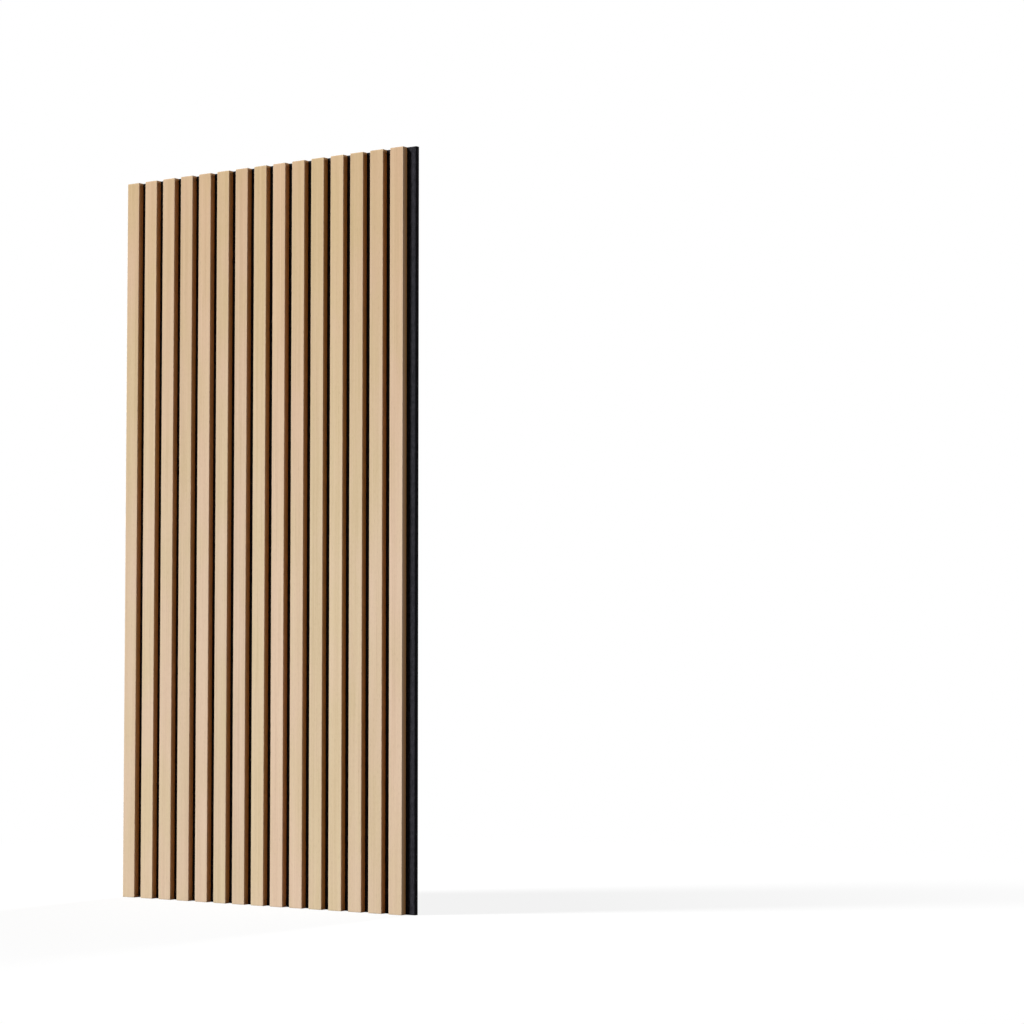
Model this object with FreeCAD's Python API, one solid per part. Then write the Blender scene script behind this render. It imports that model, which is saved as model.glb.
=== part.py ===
import FreeCAD, Part
import os

# Acoustic slat wall panel: upright slats stapled from behind to one felt backing board.
# X runs along the width, left to right as seen from the front. Y is zero on the wall plane and negative
# towards the room. Z is up. The origin is at the middle of the bottom edge of the wall face.
# All sizes are in millimetres.

# Panel
PANEL_WIDTH = 600.0
PANEL_HEIGHT = 1200.0
FELT_THICKNESS = 9.0
BARE_FELT_WIDTH = 17.5  # strip of felt to the right of the last slat, where the next panel butts on

# Slats
SLAT_COUNT = 15
SLAT_WIDTH = 25.8
SLAT_DEPTH = 10.0
SLAT_EDGE_RADIUS = 0.8  # rounding of the two long front edges
SLAT_END_BREAK = 0.4  # chamfer of the front edge at each cut end

# Staples, shot from behind through the felt into the slats
STAPLES_PER_SLAT = 5
STAPLE_END_MARGIN = 60.0  # from a slat's end to its outermost staple
STAPLE_CROWN = 12.8  # outside width, across the slat
STAPLE_LENGTH = 14.0  # from the back of the crown to the leg tips
STAPLE_SUNK = 0.4  # how far the crown is pressed in below the wall face
STAPLE_POINT = 0.8  # length of the slanted leg tip
STAPLE_BEND = 0.4  # the slant that stands for the bend from crown to leg
WIRE_WIDTH = 0.95
WIRE_THICKNESS = 0.65

# Places that follow from the sizes above
SLAT_PITCH = (PANEL_WIDTH - BARE_FELT_WIDTH - SLAT_WIDTH) / (SLAT_COUNT - 1)
FIRST_SLAT_LEFT = -PANEL_WIDTH / 2
FELT_FRONT = -FELT_THICKNESS
SLAT_FRONT = FELT_FRONT - SLAT_DEPTH
STAPLE_PITCH = (PANEL_HEIGHT - 2 * STAPLE_END_MARGIN) / (STAPLES_PER_SLAT - 1)
CROWN_BACK = -STAPLE_SUNK
CROWN_FRONT = CROWN_BACK - WIRE_THICKNESS
LEG_TIP = CROWN_BACK - STAPLE_LENGTH
LEG_OUTSIDE = STAPLE_CROWN / 2
LEG_INSIDE = LEG_OUTSIDE - WIRE_THICKNESS
CUT_MARGIN = 1.0  # how far a cutting shape runs past the surface that it opens


def at(x, y, z=0.0):
    return FreeCAD.Vector(x, y, z)


def outline(points):
    """A closed outline of straight runs."""
    return Part.makePolygon(points + points[:1])


def straight(start, end):
    return Part.LineSegment(start, end).toShape()


def round_corner(start, end, centre):
    """A quarter circle about its centre."""
    radius = (start - centre).Length
    towards_corner = (start - centre) + (end - centre)
    middle = centre + towards_corner * (radius / towards_corner.Length)
    return Part.Arc(start, middle, end).toShape()


def drawn_up(closed_outline, height):
    """The solid that an outline in the XY plane makes when it is drawn up by a height."""
    return Part.Face(closed_outline).extrude(at(0, 0, height))


def slat_section(left):
    """A slat's section: flat against the felt, with its two front corners rounded."""
    right = left + SLAT_WIDTH
    round_start = SLAT_FRONT + SLAT_EDGE_RADIUS
    left_centre = at(left + SLAT_EDGE_RADIUS, round_start)
    right_centre = at(right - SLAT_EDGE_RADIUS, round_start)
    front_left = at(left + SLAT_EDGE_RADIUS, SLAT_FRONT)
    front_right = at(right - SLAT_EDGE_RADIUS, SLAT_FRONT)
    return Part.Wire([
        straight(at(left, FELT_FRONT), at(right, FELT_FRONT)),
        straight(at(right, FELT_FRONT), at(right, round_start)),
        round_corner(at(right, round_start), front_right, right_centre),
        straight(front_right, front_left),
        round_corner(front_left, at(left, round_start), left_centre),
        straight(at(left, round_start), at(left, FELT_FRONT)),
    ])


def slat_side_profile(left):
    """A slat's side view, with the front edge broken at both cut ends, as wide as the slat."""
    profile = outline([
        at(left, FELT_FRONT, 0),
        at(left, SLAT_FRONT + SLAT_END_BREAK, 0),
        at(left, SLAT_FRONT, SLAT_END_BREAK),
        at(left, SLAT_FRONT, PANEL_HEIGHT - SLAT_END_BREAK),
        at(left, SLAT_FRONT + SLAT_END_BREAK, PANEL_HEIGHT),
        at(left, FELT_FRONT, PANEL_HEIGHT),
    ])
    return Part.Face(profile).extrude(at(SLAT_WIDTH, 0, 0))


def slat(left, seats):
    """One slat, with the holes that the legs of its staples make in its back."""
    blank = drawn_up(slat_section(left), PANEL_HEIGHT)
    return blank.common(slat_side_profile(left)).cut(seats)


def felt_backing(seats):
    """The felt board, with every staple's slot and leg holes."""
    corner = at(-PANEL_WIDTH / 2, FELT_FRONT)
    return Part.makeBox(PANEL_WIDTH, FELT_THICKNESS, PANEL_HEIGHT, corner).cut(seats)


def staple():
    """A staple of flat wire: a crown with bent corners, and two legs with slanted tips."""
    wire_outline = outline([
        at(-LEG_OUTSIDE, LEG_TIP),
        at(-LEG_OUTSIDE, CROWN_BACK - STAPLE_BEND),
        at(STAPLE_BEND - LEG_OUTSIDE, CROWN_BACK),
        at(LEG_OUTSIDE - STAPLE_BEND, CROWN_BACK),
        at(LEG_OUTSIDE, CROWN_BACK - STAPLE_BEND),
        at(LEG_OUTSIDE, LEG_TIP),
        at(LEG_INSIDE, LEG_TIP + STAPLE_POINT),
        at(LEG_INSIDE, CROWN_FRONT),
        at(-LEG_INSIDE, CROWN_FRONT),
        at(-LEG_INSIDE, LEG_TIP + STAPLE_POINT),
    ])
    return drawn_up(wire_outline, WIRE_WIDTH)


def staple_seat():
    """The space that a staple takes: its legs, and its crown out to past the wall face."""
    seat_outline = outline([
        at(-LEG_OUTSIDE, LEG_TIP),
        at(-LEG_OUTSIDE, CUT_MARGIN),
        at(LEG_OUTSIDE, CUT_MARGIN),
        at(LEG_OUTSIDE, LEG_TIP),
        at(LEG_INSIDE, LEG_TIP),
        at(LEG_INSIDE, CROWN_FRONT),
        at(-LEG_INSIDE, CROWN_FRONT),
        at(-LEG_INSIDE, LEG_TIP),
    ])
    return drawn_up(seat_outline, WIRE_WIDTH)


def up_the_slat(shape, left):
    """Copies of a staple's shape, up the middle of the slat that starts at left."""
    middle = left + SLAT_WIDTH / 2
    copies = []
    for row in range(STAPLES_PER_SLAT):
        height = STAPLE_END_MARGIN + row * STAPLE_PITCH - WIRE_WIDTH / 2
        copies.append(shape.translated(at(middle, 0, height)))
    return copies


def panel_pieces():
    """Every piece of the panel, by name."""
    pieces = {}
    staples = []
    seats = []
    for index in range(SLAT_COUNT):
        left = FIRST_SLAT_LEFT + index * SLAT_PITCH
        slat_seats = up_the_slat(staple_seat(), left)
        pieces[f"slat_{index + 1:02d}"] = slat(left, slat_seats)
        staples += up_the_slat(staple(), left)
        seats += slat_seats
    pieces["felt_backing"] = felt_backing(seats)
    pieces["staples"] = Part.makeCompound(staples)
    return pieces


def main():
    os.makedirs("parts", exist_ok=True)
    for name, shape in panel_pieces().items():
        shape.exportStep(f"parts/{name}.step")


main()
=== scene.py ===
import math
import random

import bpy
import numpy as np
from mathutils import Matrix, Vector


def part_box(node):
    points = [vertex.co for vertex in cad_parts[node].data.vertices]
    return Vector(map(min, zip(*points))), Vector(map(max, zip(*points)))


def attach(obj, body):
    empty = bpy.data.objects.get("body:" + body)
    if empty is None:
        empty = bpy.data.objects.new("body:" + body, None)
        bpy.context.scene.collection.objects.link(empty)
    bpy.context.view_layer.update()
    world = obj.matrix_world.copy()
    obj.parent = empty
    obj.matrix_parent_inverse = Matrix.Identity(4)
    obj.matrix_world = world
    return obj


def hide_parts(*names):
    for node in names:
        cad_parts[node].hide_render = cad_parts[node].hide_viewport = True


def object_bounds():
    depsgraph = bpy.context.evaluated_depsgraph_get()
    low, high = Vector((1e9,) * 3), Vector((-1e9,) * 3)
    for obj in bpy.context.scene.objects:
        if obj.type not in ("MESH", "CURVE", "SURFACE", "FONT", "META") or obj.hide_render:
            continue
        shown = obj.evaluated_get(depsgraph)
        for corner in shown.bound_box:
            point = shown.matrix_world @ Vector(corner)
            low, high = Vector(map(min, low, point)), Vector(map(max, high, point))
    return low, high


# An acoustic slat wall panel: pale oak slats on a black felt board, stapled from behind.
# Lengths are in metres. X runs along the panel's width, the slats face -Y, and Z is up.

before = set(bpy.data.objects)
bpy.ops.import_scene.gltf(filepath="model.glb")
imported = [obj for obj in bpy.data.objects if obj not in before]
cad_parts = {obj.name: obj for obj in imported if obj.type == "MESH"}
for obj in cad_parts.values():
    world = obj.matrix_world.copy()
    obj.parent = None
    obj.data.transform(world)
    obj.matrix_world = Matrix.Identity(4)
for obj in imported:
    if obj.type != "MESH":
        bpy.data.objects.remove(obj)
cad_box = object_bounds()

MM = 0.001
SLAT_NAMES = sorted(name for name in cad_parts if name.startswith("slat_"))
SLAT_BOXES = [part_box(name) for name in SLAT_NAMES]
FELT_LOW, FELT_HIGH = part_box("felt_backing")
STAPLES_LOW, STAPLES_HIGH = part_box("staples")
PANEL_MIDDLE = (cad_box[0] + cad_box[1]) / 2

# Camera: a long lens low down to the right of the panel, tipped up a little towards its middle
CAMERA_PLACE = Vector((2.7547, -3.3113, 0.3849))
CAMERA_YAW = math.radians(34.526)
CAMERA_PITCH = math.radians(2.895)
CAMERA_LENS = 92.95
CAMERA_SENSOR = 36.0
CAMERA_SHIFT_UP = 0.02

# Studio: three even lamps, each with the direction that it shines from and its strength
KEY_FROM = Vector((-0.582, -0.576, 0.574))
KEY_STRENGTH = 5.12
FILL_FROM = Vector((0.97, -0.08, 0.22))
FILL_STRENGTH = 0.62
BACK_FROM = Vector((0.0, 0.83, 0.55))
BACK_STRENGTH = 2.35
LAMP_SOFTNESS = math.radians(11)
AMBIENT_LEVEL = 0.02
FLOOR_SPAN = 60.0
FLOOR_PALE = 0.8
FLOOR_BOUNCE = 0.08  # how pale the floor is for the light that it throws back on the panel
FLOOR_GLOW = 0.82  # share of plain white in what the camera sees of the floor by the panel
FLOOR_FADE = (0.5, 1.7)  # distances from the origin between which the floor fades to white

# Slats
ARRIS_RADIUS = 0.8 * MM
ARRIS_LEAST = 0.1 * MM  # smallest radius of the rounded edge, where the section is drawn in at a cut end
ARRIS_STEPS = 8
ARRIS_FADE = 0.6 * MM  # how far the painted highlight on the arris fades out over the front
FLANK_AT_ARRIS = 0.42  # share of the painted shade on the sides at the rounded edge, which is whole by the felt
END_ROUND = 0.35 * MM
END_STEPS = 3
END_FLAT = 2.0 * MM  # a ring this far beyond the rounding keeps the long faces flat
END_BACK = 0.2  # share of the drawing-in at a cut end that the slat's back takes
FACING_THICKNESS = 0.55 * MM  # the oak facing, as it shows round the cut ends
SLAT_TONE_SEED = 11
SMOOTH_ANGLE = math.radians(40)

# Felt board
FELT_EDGE_RADIUS = 1.2 * MM
FELT_EDGE_STEPS = 4
FELT_BULGE = 0.4 * MM  # how far the felt stands out where no slat presses on it
FELT_BULGE_VARIES = 0.5  # share of the bulge that comes and goes
FELT_BULGE_REACH = 5 * MM
FELT_SHADE_REACH = 10 * MM  # how far beside a slat the painted shade on the felt reaches
FELT_UNEVEN = 0.16 * MM  # how far the wall face wanders inwards
# Each wave's turns a metre along X and along Z, and where it starts
FELT_WAVES = ((31, 17, 0.4), (-23, 41, 1.9), (47, -29, 3.1), (11, 37, 5.2))

# Staples
STAPLES_PER_SLAT = 5
CROWN_HALF = 6.4 * MM
WIRE_HALF = 0.475 * MM
DENT_DEPTH = 0.95 * MM  # how far a crown draws the felt in
DENT_REACH = 2.8 * MM

# Grid lines of the felt board
LINE_GAP = 11 * MM  # widest spacing
LINE_DIGITS = 7  # lines that agree to so many decimals are one
LINES_PER_STRIP = 6  # across each strip of bare felt
LINES_PAST_CROWN = (-1.0 * MM, 0.3 * MM, 1.5 * MM, 3.0 * MM)  # from the end of a crown outwards
LINES_OFF_CROWN = (0.6 * MM, 1.3 * MM, 2.1 * MM, 3.2 * MM, 5.0 * MM)  # above and below a crown
LINES_BY_ENDS = (2.5 * MM, FELT_BULGE_REACH)  # from the board's top and bottom

# Oak facing: sizes of its grain along X, Y and Z
GRAIN_BANDS = (7 * MM, 7 * MM, 520 * MM)
GRAIN_STREAKS = (1.6 * MM, 1.6 * MM, 190 * MM)
GRAIN_HAIRS = (0.45 * MM, 0.45 * MM, 46 * MM)
GRAIN_CLOUDS = (60 * MM, 60 * MM, 140 * MM)
PORE_DASHES = (0.28 * MM, 0.28 * MM, 8 * MM)
RAY_FLECKS = (0.4 * MM, 0.4 * MM, 5 * MM)
RING_SPACING = 2.3 * MM
RING_DIRECTION = (0.87, 0.5, 0.0)  # across the growth lines, which run up the slats
RING_WANDER = 3.0  # how many rings the bands push a growth line aside
RING_RUFFLE = 0.5  # how many rings the streaks push it aside
RING_FALL = 2.5  # how sharply early wood falls off to late wood

# Oak facing: colours, and how strongly each shows
OAK_TONES = [
    (0.36, (0.593, 0.432, 0.277, 1.0)),
    (0.50, (0.698, 0.531, 0.360, 1.0)),
    (0.63, (0.761, 0.602, 0.427, 1.0)),
]
OAK_PINK = (0.723, 0.511, 0.397, 1.0)
OAK_STRAW = (0.682, 0.556, 0.329, 1.0)
WARMTH_SHARE = 0.4  # share of pink or straw in the oak
CLOUD_WARMTH = 2.6  # how strongly the clouds turn a slat from straw to pink along its length
OAK_RAY = (0.800, 0.640, 0.470, 1.0)
RAY_SHARE = 0.45
RAY_BAND = (0.66, 0.74)  # the flecks' noise, from where a ray starts to where it is full
OAK_PORE = (0.36, 0.225, 0.120, 1.0)
PORE_SHARE = 0.55
PORE_BAND = (0.56, 0.68)  # the dashes' noise, from where a pore starts to where it is full
LATE_PORES = 0.12  # share of the pores that late wood keeps
# painted highlight on the rounded edges
OAK_ARRIS_HIGHLIGHT = (0.84, 0.66, 0.48, 1.0)
SLAT_TONE_SPREAD = 0.03  # how much darker or paler than the oak's colour a slat may be
OAK_REFLECTION_FADED = (0.935, 0.87, 0.76, 1.0)  # painted reflection: the fronts at the top, where the reflection that pales them lower down has faded, as a share of their colour lower down
REFLECTION_FADE_HEIGHTS = (0.55, 1.2)  # heights between which the painted reflection fades and the fronts deepen
OAK_FLANK_SHADE = (0.70, 0.43, 0.18, 1.0)  # painted shade on the sides, deepest by the felt, as a share of the oak's colour

# Fibreboard core
CORE_FIBRES = (0.7 * MM, 0.35 * MM, 0.7 * MM)
CORE_LUMPS = (3 * MM, 3 * MM, 3 * MM)
SAW_LINES = (40 * MM, 0.5 * MM, 40 * MM)
CORE_TONES = [(0.36, (0.20, 0.130, 0.075, 1.0)), (0.64, (0.36, 0.255, 0.160, 1.0))]

# Felt
FIBRE_SIZE = (0.8 * MM, 0.8 * MM, 6 * MM)
FIBRE_TURNS = (0.3, 1.2, 2.1, 2.75)  # the ways that the fibres lie, about Y
FIBRE_TILT = (0.2, 0.1)  # about X and Z
FIBRE_BREADTH = 0.03  # how far from its middle the noise still counts as a fibre
FELT_MOTTLE = (6 * MM, 6 * MM, 6 * MM)
FELT_NAP = (0.5 * MM, 0.5 * MM, 0.5 * MM)
FELT_TONES = [(0.36, (0.014, 0.0138, 0.017, 1.0)), (0.62, (0.036, 0.035, 0.043, 1.0))]
FELT_HAIR = (0.110, 0.108, 0.124, 1.0)
HAIR_SHARE = 0.6
HAIR_BAND = (0.45, 0.6)  # the nap, from where a fibre starts to pale to where it is a pale hair
FELT_DARKENED = (0.3, 0.29, 0.3, 1.0)  # darker at cut edges and in the staple dents, and painted shade beside the slats, as a share of the open felt's colour

# Staple wire
ZINC_PATCHES = (1.5 * MM, 1.5 * MM, 1.5 * MM)
DRAWING_LINES = (6 * MM, 0.08 * MM, 0.08 * MM)
ZINC_TONES = [(0.38, (0.42, 0.42, 0.43, 1.0)), (0.6, (0.62, 0.63, 0.64, 1.0))]


class Flow:
    """An output socket of a node. Its operators add Math nodes to the same recipe."""

    def __init__(self, recipe, socket):
        self.recipe = recipe
        self.socket = socket

    def math(self, operation, first, second):
        return self.recipe.node("ShaderNodeMath", {"operation": operation}, {0: first, 1: second})

    def __add__(self, other):
        return self.math("ADD", self, other)

    def __sub__(self, other):
        return self.math("SUBTRACT", self, other)

    def __rsub__(self, other):
        return self.math("SUBTRACT", other, self)

    def __mul__(self, other):
        return self.math("MULTIPLY", self, other)

    def __pow__(self, other):
        return self.math("POWER", self, other)

    def __abs__(self):
        return self.math("ABSOLUTE", self, 0.0)

    def fraction(self):
        return self.math("FRACT", self, 0.0)

    def at_least(self, other):
        return self.math("MAXIMUM", self, other)

    __radd__ = __add__
    __rmul__ = __mul__


class Recipe:
    """A node tree of a material or of the world."""

    def __init__(self, owner):
        owner.use_nodes = True
        self.tree = owner.node_tree
        self.tree.nodes.clear()

    def node(self, kind, settings=None, inputs=None, output=0):
        """Adds a node, sets its settings, then fills or links its sockets. Gives one of its outputs."""
        made = self.tree.nodes.new(kind)
        for name, value in (settings or {}).items():
            if name == "stops":
                self.set_stops(made.color_ramp, value)
            else:
                setattr(made, name, value)
        for name, value in (inputs or {}).items():
            if isinstance(value, Flow):
                self.tree.links.new(value.socket, made.inputs[name])
            else:
                made.inputs[name].default_value = value
        return Flow(self, made.outputs[output]) if len(made.outputs) else None

    def set_stops(self, ramp, stops):
        while len(ramp.elements) < len(stops):
            ramp.elements.new(1.0)
        for element, (position, colour) in zip(ramp.elements, stops):
            element.position = position
            element.color = colour

    def place(self):
        """Where a point of the surface is, in the panel's own frame."""
        return self.node("ShaderNodeTexCoord", output="Object")

    def noise(self, place, size, detail=2.0, roughness=0.5, turn=(0, 0, 0), distortion=0.0):
        """Noise whose lumps have about this size along each axis, which may be turned."""
        lumps = {"Vector": place, "Rotation": turn, "Scale": size}
        turned = self.node("ShaderNodeMapping", {"vector_type": "TEXTURE"}, lumps)
        look = {"Scale": 1.0, "Detail": detail, "Roughness": roughness, "Distortion": distortion}
        return self.node("ShaderNodeTexNoise", {}, {"Vector": turned, **look}, output="Fac")

    def attribute(self, name):
        return self.node("ShaderNodeAttribute", {"attribute_name": name}, output="Fac")

    def ramp(self, value, stops):
        return self.node("ShaderNodeValToRGB", {"stops": stops}, {0: value})

    def stretch(self, value, low, high):
        """The value, spread so that low becomes 0 and high becomes 1, and held there."""
        ends = {"Value": value, "From Min": low, "From Max": high}
        return self.node("ShaderNodeMapRange", {"clamp": True}, ends)

    def mix(self, share, first, second, blend="MIX"):
        """The first colour, with a share of the second blended in."""
        settings = {"data_type": "RGBA", "blend_type": blend}
        return self.node("ShaderNodeMix", settings, {0: share, 6: first, 7: second}, output=2)

    def bump(self, height, distance, strength):
        sockets = {"Height": height, "Distance": distance, "Strength": strength}
        return self.node("ShaderNodeBump", {}, sockets)

    def surface(self, **sockets):
        """Ends a material with a Principled shader. Underscores in the names stand for spaces."""
        named = {name.replace("_", " "): value for name, value in sockets.items()}
        shader = self.node("ShaderNodeBsdfPrincipled", {}, named)
        self.node("ShaderNodeOutputMaterial", {}, {"Surface": shader})

    def seen_as_backdrop(self):
        """1 for the rays that show the background: to the camera, in a reflection or through glass."""
        outputs = self.node("ShaderNodeLightPath").socket.node.outputs
        rays = ("Is Camera Ray", "Is Glossy Ray", "Is Transmission Ray")
        camera_ray, glossy_ray, through_ray = (Flow(self, outputs[name]) for name in rays)
        return camera_ray.at_least(glossy_ray).at_least(through_ray)


def grey(level):
    return (level, level, level, 1.0)


def new_material(name):
    material = bpy.data.materials.new(name)
    return material, Recipe(material)


# Finishes

def growth_rings(oak, place, bands, streaks):
    """Early wood: 1 where a growth ring starts, and less and less up to its end."""
    across = {0: place, 1: RING_DIRECTION}
    depth = oak.node("ShaderNodeVectorMath", {"operation": "DOT_PRODUCT"}, across, output="Value")
    ring = (depth * (1 / RING_SPACING) + RING_WANDER * bands + RING_RUFFLE * streaks).fraction()
    return (1 - ring) ** RING_FALL


def slat_tones(oak, colour):
    """The colour, with the tone that each slat has of its own."""
    stops = [(0.0, grey(1 - SLAT_TONE_SPREAD)), (1.0, grey(1 + SLAT_TONE_SPREAD))]
    return oak.mix(1.0, colour, oak.ramp(oak.attribute("tone"), stops), "MULTIPLY")


def with_painted_reflection_and_shade(oak, place, colour):
    """The colour with painted light: deeper towards the top of the fronts as a painted reflection fades
    out, and painted shade on the sides.
    """
    flank = oak.attribute("flank")
    up = oak.node("ShaderNodeSeparateXYZ", {}, {0: place}, output="Z")
    reflection_fade = oak.stretch(up, *REFLECTION_FADE_HEIGHTS) * (1 - flank)
    colour = oak.mix(reflection_fade, colour, OAK_REFLECTION_FADED, "MULTIPLY")
    # Painted shade on the sides, deepest by the felt
    return oak.mix(flank, colour, OAK_FLANK_SHADE, "MULTIPLY")


def oak_facing():
    """Straight-grained pale oak, matt, with growth rings, pores and ray flecks, painted highlights on the
    arrises, painted shade on the sides and a painted reflection that fades up the fronts.
    """
    material, oak = new_material("oak_facing")
    place = oak.place()
    bands = oak.noise(place, GRAIN_BANDS, detail=2.0, distortion=0.3)
    streaks = oak.noise(place, GRAIN_STREAKS, detail=3.0, roughness=0.6)
    hairs = oak.noise(place, GRAIN_HAIRS, detail=2.0)
    clouds = oak.noise(place, GRAIN_CLOUDS, detail=2.0)
    dashes = oak.noise(place, PORE_DASHES, detail=1.0)
    rays = oak.stretch(oak.noise(place, RAY_FLECKS, detail=1.0), *RAY_BAND)
    early_wood = growth_rings(oak, place, bands, streaks)
    pores = oak.stretch(dashes, *PORE_BAND) * (LATE_PORES + (1 - LATE_PORES) * early_wood)
    grain = bands * 0.36 + streaks * 0.32 + hairs * 0.16 + clouds * 0.16 - early_wood * 0.05 + 0.014
    warmth = oak.attribute("warmth") + CLOUD_WARMTH * (clouds - 0.5)
    colour = oak.mix(WARMTH_SHARE, oak.ramp(grain, OAK_TONES), oak.mix(warmth, OAK_STRAW, OAK_PINK))
    colour = oak.mix(rays * RAY_SHARE, colour, OAK_RAY)
    colour = slat_tones(oak, colour)
    # Painted reflection that fades up the fronts, and painted shade on the sides
    colour = with_painted_reflection_and_shade(oak, place, colour)
    colour = oak.mix(pores * PORE_SHARE, colour, OAK_PORE)
    # Painted highlight along the rounded edges, varied by the streaks
    colour = oak.mix(oak.attribute("arris") * (0.25 + 0.3 * streaks), colour, OAK_ARRIS_HIGHLIGHT)
    height = hairs * 0.35 + streaks * 0.4 - early_wood * 0.25 - pores
    oak.surface(
        Base_Color=colour, Roughness=0.46 + 0.16 * hairs + 0.10 * pores - 0.06 * rays,
        Specular_IOR_Level=0.06,
        Normal=oak.bump(height, distance=0.12 * MM, strength=0.35),
    )
    return material


def fibreboard_core():
    """Sawn fibreboard, as the cut ends of a slat show it: fine mottled fibre with faint saw lines."""
    material, core = new_material("fibreboard_core")
    place = core.place()
    fibres = core.noise(place, CORE_FIBRES, detail=3.0, roughness=0.7)
    lumps = core.noise(place, CORE_LUMPS, detail=1.0)
    saw_lines = core.noise(place, SAW_LINES, detail=1.0)
    mottle = fibres * 0.55 + lumps * 0.25 + saw_lines * 0.2
    core.surface(
        Base_Color=core.ramp(mottle, CORE_TONES), Roughness=0.8 + 0.15 * fibres,
        Specular_IOR_Level=0.15,
        Normal=core.bump(mottle, distance=0.15 * MM, strength=0.5),
    )
    return material


def felt_fibres(felt, place, turn):
    """Long thin fibres that lie one way: the lines along which a stretched noise crosses its middle."""
    about_x, about_z = FIBRE_TILT
    waves = felt.noise(place, FIBRE_SIZE, detail=1.0, turn=(about_x, turn, about_z), distortion=0.5)
    return felt.stretch(abs(waves - 0.5), FIBRE_BREADTH, 0.0)


def backing_felt():
    """Pressed black felt: a tangle of fibres, some of them paler, in a mottled dark ground."""
    material, felt = new_material("backing_felt")
    place = felt.place()
    tangle = felt_fibres(felt, place, FIBRE_TURNS[0])
    for turn in FIBRE_TURNS[1:]:
        tangle = tangle.at_least(felt_fibres(felt, place, turn))
    mottle = felt.noise(place, FELT_MOTTLE, detail=3.0, roughness=0.6)
    nap = felt.noise(place, FELT_NAP, detail=2.0)
    ground = felt.ramp(mottle * 0.6 + nap * 0.4, FELT_TONES)
    hairs = tangle * felt.stretch(nap, *HAIR_BAND)
    colour = felt.mix(hairs * HAIR_SHARE, ground, FELT_HAIR)
    # Darker at the cut edges and in the staple dents, and painted shade beside the slats
    felt.surface(
        Base_Color=felt.mix(felt.attribute("pressed"), colour, FELT_DARKENED, "MULTIPLY"),
        Roughness=0.9 + 0.08 * nap,
        Specular_IOR_Level=0.02, Sheen_Weight=0.02, Sheen_Roughness=0.6,
        Normal=felt.bump(tangle * 0.6 + nap * 0.5 + mottle * 0.6, distance=0.35 * MM, strength=0.7),
    )
    return material


def staple_wire():
    """Zinc-plated wire: dull patches and fine drawing lines along the crown."""
    material, wire = new_material("staple_wire")
    place = wire.place()
    patches = wire.noise(place, ZINC_PATCHES, detail=2.0)
    lines = wire.noise(place, DRAWING_LINES, detail=1.0)
    wire.surface(
        Base_Color=wire.ramp(patches, ZINC_TONES), Roughness=0.28 + 0.2 * patches + 0.1 * lines,
        Metallic=1.0,
        Normal=wire.bump(lines, distance=0.02 * MM, strength=0.3),
    )
    return material


def floor_finish():
    """A pale floor, near white to the camera with the panel's shadow. It throws back little light."""
    material, floor = new_material("pale_floor")
    lit = floor.node("ShaderNodeBsdfDiffuse", {}, {"Color": grey(FLOOR_PALE)})
    white = floor.node("ShaderNodeEmission", {}, {"Color": grey(1.0), "Strength": 1.0})
    away = floor.node("ShaderNodeVectorMath", {"operation": "LENGTH"}, {0: floor.place()}, output="Value")
    glow = FLOOR_GLOW + (1 - FLOOR_GLOW) * floor.stretch(away, *FLOOR_FADE)
    shown = floor.node("ShaderNodeMixShader", {}, {0: glow, 1: lit, 2: white})
    dim = floor.node("ShaderNodeBsdfDiffuse", {}, {"Color": grey(FLOOR_BOUNCE)})
    both = floor.node("ShaderNodeMixShader", {}, {0: floor.seen_as_backdrop(), 1: dim, 2: shown})
    floor.node("ShaderNodeOutputMaterial", {}, {"Surface": both})
    return material


# Pieces

def new_piece(name, vertices, faces, materials):
    """A mesh object in the panel's frame, smooth but for its sharp edges."""
    mesh = bpy.data.meshes.new(name)
    mesh.from_pydata(vertices, [], faces)
    mesh.shade_smooth()
    mesh.set_sharp_from_angle(angle=SMOOTH_ANGLE)
    for material in materials:
        mesh.materials.append(material)
    piece = bpy.data.objects.new(name, mesh)
    bpy.context.scene.collection.objects.link(piece)
    return piece


def add_values(piece, name, values):
    """A number for each vertex, which a material reads by its name."""
    attribute = piece.data.attributes.new(name, "FLOAT", "POINT")
    attribute.data.foreach_set("value", np.asarray(values, dtype=np.float32))


def quarter_turn(steps):
    """Angles from nothing to a right angle, in even steps."""
    return [math.pi / 2 * step / steps for step in range(steps + 1)]


# The slats

def slat_outline(low, high, inset):
    """A slat's section drawn in by an inset: (x, y, arris, flank) from the back left round the front.

    Arris highlight, the share of painted highlight, rises from 0 on the side to 1 where the rounded edge
    meets the front, and fades out beyond it.
    Flank shade is the share of the painted shade on the sides: 1 where a side meets the felt, and 0 on
    the front.
    """
    left, right = low.x + inset, high.x - inset
    front, back = low.y + inset, high.y - END_BACK * inset
    radius = max(ARRIS_RADIUS - inset, ARRIS_LEAST)
    half = [(left, back, 0.0, 1.0), (left, front + radius + ARRIS_FADE, 0.0, FLANK_AT_ARRIS)]
    for angle in quarter_turn(ARRIS_STEPS):
        x, y = left + radius * (1 - math.cos(angle)), front + radius * (1 - math.sin(angle))
        half.append((x, y, math.sin(angle), FLANK_AT_ARRIS * math.cos(angle)))
    half.append((left + radius + ARRIS_FADE, front, 0.0, 0.0))
    return half + [(left + right - x, y, arris, flank) for x, y, arris, flank in reversed(half)]


def slat_rings(low, high):
    """(inset, height) of each ring up a slat, from the core of one cut end to that of the other."""
    rings = [(END_ROUND + FACING_THICKNESS, 0.0)]
    for turn in quarter_turn(END_STEPS):
        rings.append((END_ROUND * (1 - math.sin(turn)), END_ROUND * (1 - math.cos(turn))))
    rings.append((0.0, END_ROUND + END_FLAT))
    lower = [(inset, low.z + rise) for inset, rise in rings]
    upper = [(inset, high.z - rise) for inset, rise in reversed(rings)]
    return lower + upper


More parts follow.
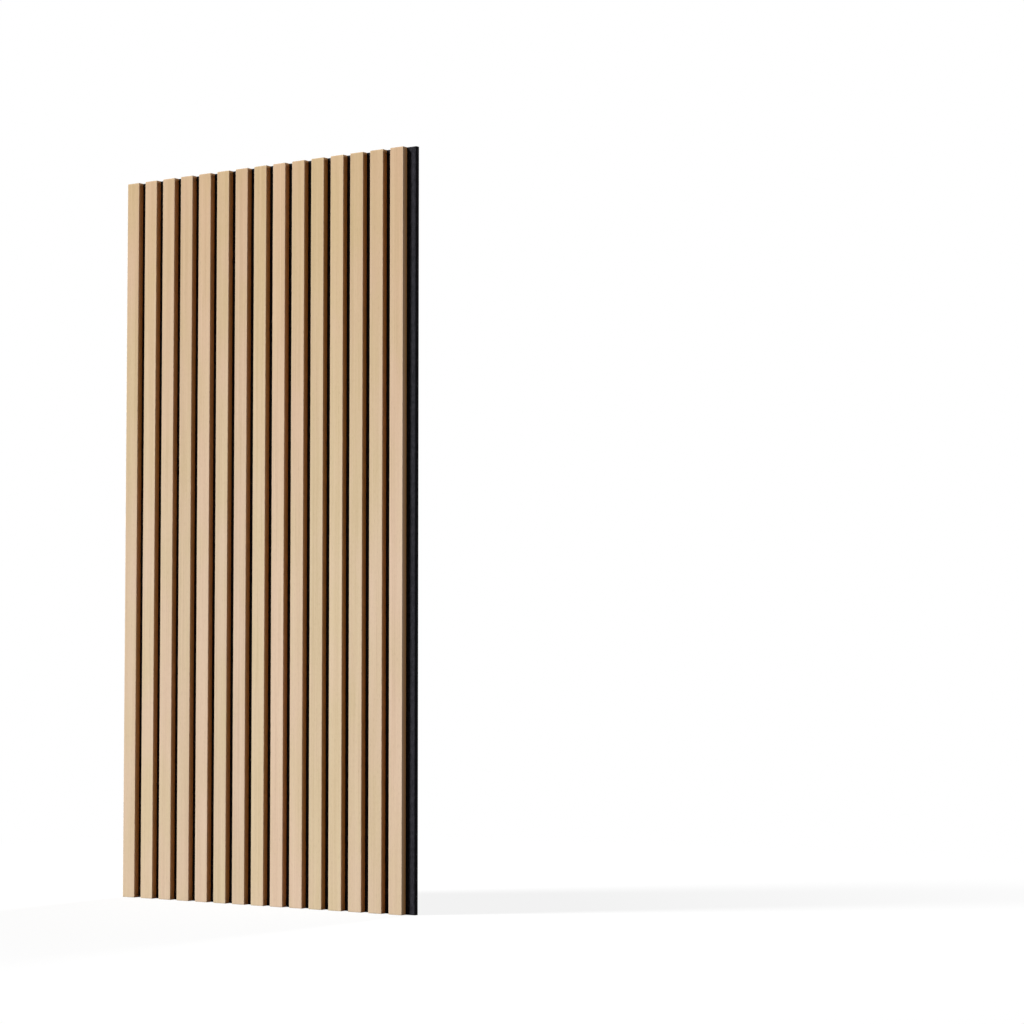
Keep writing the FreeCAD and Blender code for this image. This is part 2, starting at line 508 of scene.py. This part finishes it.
def ring_faces(rings, count):
    """Faces round a stack of rings with count points each: the lower cap, the walls, the upper cap."""
    faces = [list(reversed(range(count)))]
    for ring in range(rings - 1):
        start, above = ring * count, (ring + 1) * count
        for spot in range(count):
            after = (spot + 1) % count
            faces.append([start + spot, start + after, above + after, above + spot])
    faces.append(list(range((rings - 1) * count, rings * count)))
    return faces


def slat_piece(node, low, high, tone, warmth, materials):
    """One slat, with rounded arrises and the core showing at both cut ends."""
    vertices, arris, flank = [], [], []
    rings = slat_rings(low, high)
    for inset, height in rings:
        # paler is the painted highlight on the arris, darker the painted shade on the sides
        for x, y, paler, darker in slat_outline(low, high, inset):
            vertices.append((x, y, height))
            arris.append(paler)
            flank.append(darker)
    faces = ring_faces(len(rings), len(vertices) // len(rings))
    piece = new_piece(f"{node}_oak", vertices, faces, materials)
    for cap in (0, len(faces) - 1):
        piece.data.polygons[cap].material_index = 1
    add_values(piece, "arris", arris)
    add_values(piece, "flank", flank)
    add_values(piece, "tone", [tone] * len(vertices))
    add_values(piece, "warmth", [warmth] * len(vertices))
    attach(piece, "root")
    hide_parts(node)


def all_slats():
    """Every slat, each with a tone of its own."""
    draw = random.Random(SLAT_TONE_SEED)
    materials = [oak_facing(), fibreboard_core()]
    for node, (low, high) in zip(SLAT_NAMES, SLAT_BOXES):
        slat_piece(node, low, high, draw.random(), draw.random(), materials)


# The felt board and the staples

def staple_places():
    """Where the crowns' middles are on the wall face: along X, one for each slat, and up it."""
    columns = [(low.x + high.x) / 2 for low, high in SLAT_BOXES]
    first, last = STAPLES_LOW.z + WIRE_HALF, STAPLES_HIGH.z - WIRE_HALF
    rows = [first + (last - first) * row / (STAPLES_PER_SLAT - 1) for row in range(STAPLES_PER_SLAT)]
    return columns, rows


def bare_felt():
    """Where each strip of felt that no slat covers starts and ends along X."""
    starts = [high.x for low, high in SLAT_BOXES]
    ends = [low.x for low, high in SLAT_BOXES[1:]] + [FELT_HIGH.x]
    return list(zip(starts, ends))


def edge_stops(low, high):
    """Grid lines across the rounded edge at both ends of a side of the board."""
    depths = [FELT_EDGE_RADIUS * (1 - math.sin(turn)) for turn in quarter_turn(FELT_EDGE_STEPS)]
    return [low + depth for depth in depths] + [high - depth for depth in depths]


def filled(stops):
    """Sorted grid lines through the stops, and more of them where two are over LINE_GAP apart."""
    lines = sorted(set(round(stop, LINE_DIGITS) for stop in stops))
    result = [lines[0]]
    for line in lines[1:]:
        start = result[-1]
        parts = math.ceil((line - start) / LINE_GAP)
        result += [start + (line - start) * part / parts for part in range(1, parts + 1)]
    return np.array(result)


def felt_lines():
    """The board's grid lines along X and Z, close together at its edges, the slats and the staples."""
    columns, rows = staple_places()
    across = columns + edge_stops(FELT_LOW.x, FELT_HIGH.x)
    up = rows + edge_stops(FELT_LOW.z, FELT_HIGH.z)
    for start, end in bare_felt():
        across += [start + (end - start) * part / LINES_PER_STRIP for part in range(LINES_PER_STRIP)]
    for column in columns:
        for past in LINES_PAST_CROWN:
            reach = CROWN_HALF + past
            across += [column - reach, column + reach]
    for row in rows:
        for reach in LINES_OFF_CROWN:
            up += [row - reach, row + reach]
    for reach in LINES_BY_ENDS:
        up += [FELT_LOW.z + reach, FELT_HIGH.z - reach]
    return filled(across), filled(up)


def eased(share):
    """A share that starts and ends gently between 0 and 1."""
    held = np.clip(share, 0.0, 1.0)
    return held * held * (3 - 2 * held)


def edge_fall(x, z):
    """How far the board's face falls back at its rounded edges."""
    along = np.minimum(x - FELT_LOW.x, FELT_HIGH.x - x)
    upright = np.minimum(z - FELT_LOW.z, FELT_HIGH.z - z)
    depth = np.clip(np.minimum(along, upright), 0.0, FELT_EDGE_RADIUS)
    return FELT_EDGE_RADIUS - np.sqrt(FELT_EDGE_RADIUS**2 - (FELT_EDGE_RADIUS - depth) ** 2)


def staple_dents(x, z):
    """How far the wall face is drawn in round the staple crowns, from 0 to 1."""
    columns, rows = staple_places()
    beside = np.min([np.maximum(np.abs(x - column) - CROWN_HALF, 0.0) for column in columns], axis=0)
    above = np.min([np.abs(z - row) for row in rows], axis=0)
    return np.exp(-(beside**2 + above**2) / DENT_REACH**2)


def felt_swell(x, z):
    """How far the front of the board swells where no slat presses on it, from 0 to 1."""
    inside = np.max([np.minimum(x - start, end - x) for start, end in bare_felt()], axis=0)
    from_end = np.minimum(z - FELT_LOW.z, FELT_HIGH.z - z)
    return eased(inside / FELT_BULGE_REACH) * eased(from_end / FELT_BULGE_REACH)


def shade_beside_slats(x):
    """Painted shade on the front of the board beside the slats, from 1 behind one to 0 well clear of it.
    """
    between = [np.minimum(x - start, end - x) for start, end in bare_felt()[:-1]]
    right_strip = x - SLAT_BOXES[-1][1].x
    from_slats = np.max([*between, right_strip], axis=0)
    return 1 - eased(from_slats / FELT_SHADE_REACH)


def unevenness(x, z):
    """A slow wander over the felt, from 0 to 1."""
    waves = [np.sin(2 * math.pi * (across * x + up * z) + start) for across, up, start in FELT_WAVES]
    return 0.5 + 0.5 * np.mean(waves, axis=0)


def board_faces(width, height):
    """Faces of a board whose front and back are grids of width by height points, and of its rim."""
    half = width * height
    faces = []
    for row in range(height - 1):
        for column in range(width - 1):
            corner = row * width + column
            quad = [corner, corner + 1, corner + width + 1, corner + width]
            faces.append(quad)
            faces.append([half + spot for spot in reversed(quad)])
    rim = list(range(width)) + [row * width + width - 1 for row in range(1, height)]
    rim += [(height - 1) * width + column for column in range(width - 2, -1, -1)]
    rim += [row * width for row in range(height - 2, 0, -1)]
    for spot, after in zip(rim, rim[1:] + rim[:1]):
        faces.append([after, spot, half + spot, half + after])
    return faces


def felt_piece():
    """The felt board: soft rounded edges, swollen between the slats, drawn in at the staples behind."""
    across, up = felt_lines()
    x, z = (grid.ravel() for grid in np.meshgrid(across, up))
    fall = edge_fall(x, z)
    dents = staple_dents(x, z)
    bulge = FELT_BULGE * felt_swell(x, z) * (1 - FELT_BULGE_VARIES * unevenness(x, z))
    front = FELT_LOW.y + fall - bulge
    back = FELT_HIGH.y - np.maximum(fall, DENT_DEPTH * dents + FELT_UNEVEN * unevenness(z, x))
    vertices = [*zip(x, front, z), *zip(x, back, z)]
    piece = new_piece("felt_board", vertices, board_faces(len(across), len(up)), [backing_felt()])
    cut = fall / FELT_EDGE_RADIUS
    # Painted shade beside the slats on the front, with the darker cut edges
    front_darkening = np.maximum(cut, shade_beside_slats(x))
    back_pressed = np.maximum(cut, dents**2)
    add_values(piece, "pressed", [*front_darkening, *back_pressed])
    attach(piece, "root")
    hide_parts("felt_backing")


def staples():
    """The staples keep their own solids and get their wire's finish."""
    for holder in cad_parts["staples"].material_slots:
        holder.material = staple_wire()


# Studio

def floor():
    """A wide flat floor under the panel."""
    half = FLOOR_SPAN / 2
    corners = [(-half, -half, 0.0), (half, -half, 0.0), (half, half, 0.0), (-half, half, 0.0)]
    new_piece("floor", corners, [[0, 1, 2, 3]], [floor_finish()])


def far_lamp(name, direction, strength):
    """A large lamp, far enough away to light the whole panel evenly."""
    lamp = bpy.data.lights.new(name, "SUN")
    lamp.energy = strength
    lamp.angle = LAMP_SOFTNESS
    holder = bpy.data.objects.new(name, lamp)
    holder.location = PANEL_MIDDLE + direction
    holder.rotation_euler = (-direction).to_track_quat("-Z", "Y").to_euler()
    bpy.context.scene.collection.objects.link(holder)


def surroundings():
    """A white backdrop to the camera, and a low even light on the panel."""
    world = bpy.data.worlds.new("studio")
    bpy.context.scene.world = world
    sky = Recipe(world)
    level = sky.mix(sky.seen_as_backdrop(), grey(AMBIENT_LEVEL), grey(1.0))
    glow = sky.node("ShaderNodeBackground", {}, {"Color": level, "Strength": 1.0})
    sky.node("ShaderNodeOutputWorld", {}, {"Surface": glow})


def camera():
    """The camera, where the photograph was taken from."""
    lens = bpy.data.cameras.new("camera")
    lens.lens = CAMERA_LENS
    lens.sensor_width = CAMERA_SENSOR
    lens.shift_y = CAMERA_SHIFT_UP
    holder = bpy.data.objects.new("camera", lens)
    holder.location = CAMERA_PLACE
    holder.rotation_euler = (math.pi / 2 + CAMERA_PITCH, 0.0, CAMERA_YAW)
    bpy.context.scene.collection.objects.link(holder)
    bpy.context.scene.camera = holder


bpy.context.scene.view_settings.view_transform = "Standard"
camera()
all_slats()
felt_piece()
staples()
floor()
far_lamp("key_light", KEY_FROM, KEY_STRENGTH)
far_lamp("fill_light", FILL_FROM, FILL_STRENGTH)
far_lamp("back_light", BACK_FROM, BACK_STRENGTH)
surroundings()
